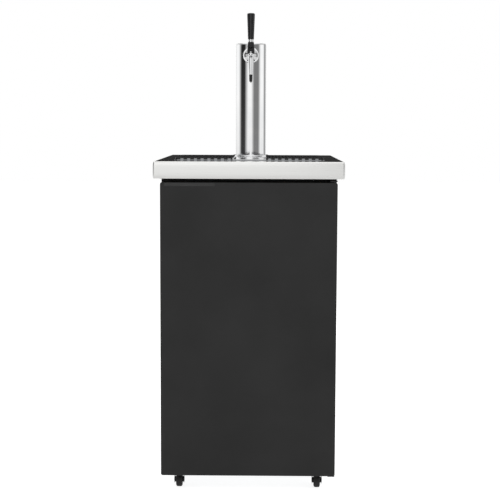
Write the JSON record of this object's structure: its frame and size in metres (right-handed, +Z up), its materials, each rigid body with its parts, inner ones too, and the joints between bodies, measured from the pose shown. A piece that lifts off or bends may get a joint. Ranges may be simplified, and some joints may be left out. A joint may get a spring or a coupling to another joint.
{
  "type": "draft beer cooler",
  "caption": "Free-standing refrigerated cabinet for a beer keg, with a hinged door, drip tray, chrome tap tower with a lever faucet, and swivel casters.",
  "frame": {"origin": "on the floor under the middle of the worktop", "axes": "+Z up, the door faces -Y, +X to the right seen from the front"},
  "size_m": [0.597, 0.787, 1.549],
  "materials": {
    "charcoal_paint": "satin charcoal coating",
    "steel_band": "bright brushed stainless steel",
    "pan_steel": "plain stainless steel",
    "black_laminate": "half-gloss black laminate",
    "core_board": "bare board",
    "chrome": "polished chrome",
    "nut_brass": "turned brass",
    "foam": "rigid foam",
    "white_liner": "smooth white plastic",
    "black_plastic": "moulded black plastic",
    "charcoal_plastic": "moulded charcoal plastic",
    "grate_black": "polished black plastic",
    "handle_black": "polished black plastic",
    "black_rubber": "soft black rubber",
    "caster_tread": "hard black rubber",
    "caster_metal": "dark plated steel",
    "zinc_sheet": "zinc coated sheet",
    "black_enamel": "black enamel",
    "coil_aluminium": "bare fins",
    "copper_tube": "bare copper"
  },
  "bodies": {
    "cabinet": {"base_pan": "zinc_sheet", "side_panel_left": "charcoal_paint", "side_panel_right": "charcoal_paint", "front_frame": "charcoal_paint", "rear_panel": "zinc_sheet", "machine_grille": "zinc_sheet", "cabinet_foam": "foam", "inner_liner": "white_liner", "keg_floor": "pan_steel", "gas_port": "black_plastic", "cord_gland": "black_plastic", "worktop_band": "steel_band", "worktop_core": "core_board", "worktop_panel": "black_laminate", "tower_gasket": "black_rubber", "tower_flange": "chrome", "tower_column": "chrome", "tower_cap": "chrome", "tower_sleeve": "foam", "faucet_shank": "chrome", "shank_flange": "chrome", "shank_nut": "nut_brass", "coupling_nut": "chrome", "faucet_body": "chrome", "faucet_bonnet": "black_plastic", "spout_tip": "black_plastic", "evaporator_shroud": "white_liner", "evaporator_coil": "coil_aluminium", "fan_motors": "black_enamel", "compressor": "black_enamel", "condenser_coil": "coil_aluminium", "condenser_shroud": "zinc_sheet", "refrigerant_lines": "copper_tube", "hinge_brackets": "black_enamel", "fasteners": "zinc_sheet", "caster_plates": "caster_metal"},
    "door": {"door_skin": "charcoal_paint", "door_foam": "foam", "door_liner": "white_liner", "door_gasket": "black_rubber", "door_pull": "charcoal_plastic", "door_bushes": "white_liner"},
    "tap_lever": {"faucet_lever": "chrome", "lever_collar": "black_plastic", "handle_ferrule": "chrome", "tap_handle": "handle_black"},
    "tap_shaft": {"faucet_shaft": "chrome"},
    "evaporator_fan": {"evaporator_fan": "black_plastic"},
    "condenser_fan": {"condenser_fan": "black_plastic"},
    "thermostat_knob": {"thermostat_knob": "black_plastic"},
    "drip_pan": {"drip_pan": "pan_steel"},
    "drip_grate": {"drip_grate": "grate_black"},
    "caster_fork_front_left": {"caster_fork_front_left": "caster_metal"},
    "caster_wheel_front_left": {"caster_wheel_front_left": "caster_tread"},
    "caster_fork_front_right": {"caster_fork_front_right": "caster_metal"},
    "caster_wheel_front_right": {"caster_wheel_front_right": "caster_tread"},
    "caster_fork_rear_left": {"caster_fork_rear_left": "caster_metal"},
    "caster_wheel_rear_left": {"caster_wheel_rear_left": "caster_tread"},
    "caster_fork_rear_right": {"caster_fork_rear_right": "caster_metal"},
    "caster_wheel_rear_right": {"caster_wheel_rear_right": "caster_tread"}
  },
  "joints": [
    {"name": "door_hinge", "type": "hinge", "parent": "cabinet", "child": "door", "pos_m": [0.2645, -0.3595, 0.057], "axis": [0, 0, 1], "range_deg": [0, 110]},
    {"name": "tap_lever", "type": "hinge", "parent": "cabinet", "child": "tap_lever", "pos_m": [0, 0.083, 1.426], "axis": [1, 0, 0], "range_deg": [0, 35]},
    {"name": "tap_shaft", "type": "slide", "parent": "cabinet", "child": "tap_shaft", "axis": [0, 1, 0], "range_m": [0, 0.0081]},
    {"name": "evaporator_fan_spin", "type": "hinge", "parent": "cabinet", "child": "evaporator_fan", "pos_m": [-0.065, 0.2765, 0.79], "axis": [0, 1, 0], "continuous": true},
    {"name": "condenser_fan_spin", "type": "hinge", "parent": "cabinet", "child": "condenser_fan", "pos_m": [0.1325, 0.3, 0.173], "axis": [0, 1, 0], "continuous": true},
    {"name": "thermostat_turn", "type": "hinge", "parent": "cabinet", "child": "thermostat_knob", "pos_m": [0.105, 0.23, 0.85], "axis": [0, 1, 0], "range_deg": [0, 270]},
    {"name": "drip_pan_lift", "type": "slide", "parent": "cabinet", "child": "drip_pan", "axis": [0, 0, 1], "range_m": [0, 0.1]},
    {"name": "drip_grate_lift", "type": "slide", "parent": "drip_pan", "child": "drip_grate", "axis": [0, 0, 1], "range_m": [0, 0.1]},
    {"name": "caster_swivel_front_left", "type": "hinge", "parent": "cabinet", "child": "caster_fork_front_left", "pos_m": [-0.2225, -0.2875, 0.06], "axis": [0, 0, 1], "continuous": true},
    {"name": "caster_roll_front_left", "type": "hinge", "parent": "caster_fork_front_left", "child": "caster_wheel_front_left", "pos_m": [-0.2225, -0.3095, 0.024], "axis": [1, 0, 0], "continuous": true},
    {"name": "caster_swivel_front_right", "type": "hinge", "parent": "cabinet", "child": "caster_fork_front_right", "pos_m": [0.2225, -0.2875, 0.06], "axis": [0, 0, 1], "continuous": true},
    {"name": "caster_roll_front_right", "type": "hinge", "parent": "caster_fork_front_right", "child": "caster_wheel_front_right", "pos_m": [0.2225, -0.3095, 0.024], "axis": [1, 0, 0], "continuous": true},
    {"name": "caster_swivel_rear_left", "type": "hinge", "parent": "cabinet", "child": "caster_fork_rear_left", "pos_m": [-0.2225, 0.3385, 0.06], "axis": [0, 0, 1], "continuous": true},
    {"name": "caster_roll_rear_left", "type": "hinge", "parent": "caster_fork_rear_left", "child": "caster_wheel_rear_left", "pos_m": [-0.2225, 0.3165, 0.024], "axis": [1, 0, 0], "continuous": true},
    {"name": "caster_swivel_rear_right", "type": "hinge", "parent": "cabinet", "child": "caster_fork_rear_right", "pos_m": [0.2225, 0.3385, 0.06], "axis": [0, 0, 1], "continuous": true},
    {"name": "caster_roll_rear_right", "type": "hinge", "parent": "caster_fork_rear_right", "child": "caster_wheel_rear_right", "pos_m": [0.2225, 0.3165, 0.024], "axis": [1, 0, 0], "continuous": true}
  ],
  "couplings": [
    {"joint": "tap_shaft", "follows": "tap_lever", "m_per_rad": 0.01314}
  ]
}
